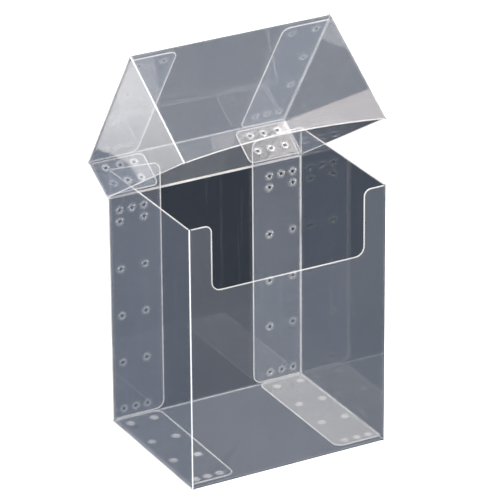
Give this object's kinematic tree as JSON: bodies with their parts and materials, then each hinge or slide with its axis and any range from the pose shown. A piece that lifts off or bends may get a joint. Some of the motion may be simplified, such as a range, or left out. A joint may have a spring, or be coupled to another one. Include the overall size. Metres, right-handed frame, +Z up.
{
  "type": "card deck box",
  "caption": "Clear folded-plastic box for a deck of playing or trading cards, with a thumb notch in front and a flip-up lid on a living hinge.",
  "frame": {"origin": "centre of the box's base, on the surface that it stands on", "axes": "+X across the box's width to the right, +Y from the notched front towards the hinge, +Z up"},
  "size_m": [0.0724, 0.0682, 0.1366],
  "materials": {
    "clear_sheet": "clear glossy sheet with a faint cool grey haze",
    "tab_sheet": "clear glossy sheet, welded double layer with pressed spot welds",
    "crease": "stress-whitened glossy crease"
  },
  "bodies": {
    "box": {"front_panel": "clear_sheet", "back_panel": "clear_sheet", "bottom_panel": "clear_sheet", "left_side_panel": "clear_sheet", "right_side_panel": "clear_sheet", "left_rear_tab": "tab_sheet", "right_rear_tab": "tab_sheet", "left_bottom_tab": "tab_sheet", "right_bottom_tab": "tab_sheet", "bottom_front_fold": "crease", "bottom_back_fold": "crease", "left_front_fold": "crease", "left_rear_fold": "crease", "left_bottom_fold": "crease", "right_front_fold": "crease", "right_rear_fold": "crease", "right_bottom_fold": "crease", "lid_hinge_crease": "crease"},
    "lid": {"lid_back_strip": "clear_sheet", "lid_top_panel": "clear_sheet", "lid_front_flap": "clear_sheet", "lid_left_side_panel": "clear_sheet", "lid_right_side_panel": "clear_sheet", "lid_left_top_tab": "tab_sheet", "lid_right_top_tab": "tab_sheet", "lid_left_strip_tab": "tab_sheet", "lid_right_strip_tab": "tab_sheet", "lid_rear_fold": "crease", "lid_front_fold": "crease", "lid_left_front_fold": "crease", "lid_left_top_fold": "crease", "lid_left_strip_fold": "crease", "lid_right_front_fold": "crease", "lid_right_top_fold": "crease", "lid_right_strip_fold": "crease"}
  },
  "joints": [
    {"name": "lid_hinge", "type": "hinge", "parent": "box", "child": "lid", "pos_m": [0, 0.028, 0.0805], "axis": [-1, 0, 0], "range_deg": [-56.7, 108], "stiffness_Nm_per_rad": 0.03, "springref_deg": 2.69}
  ]
}
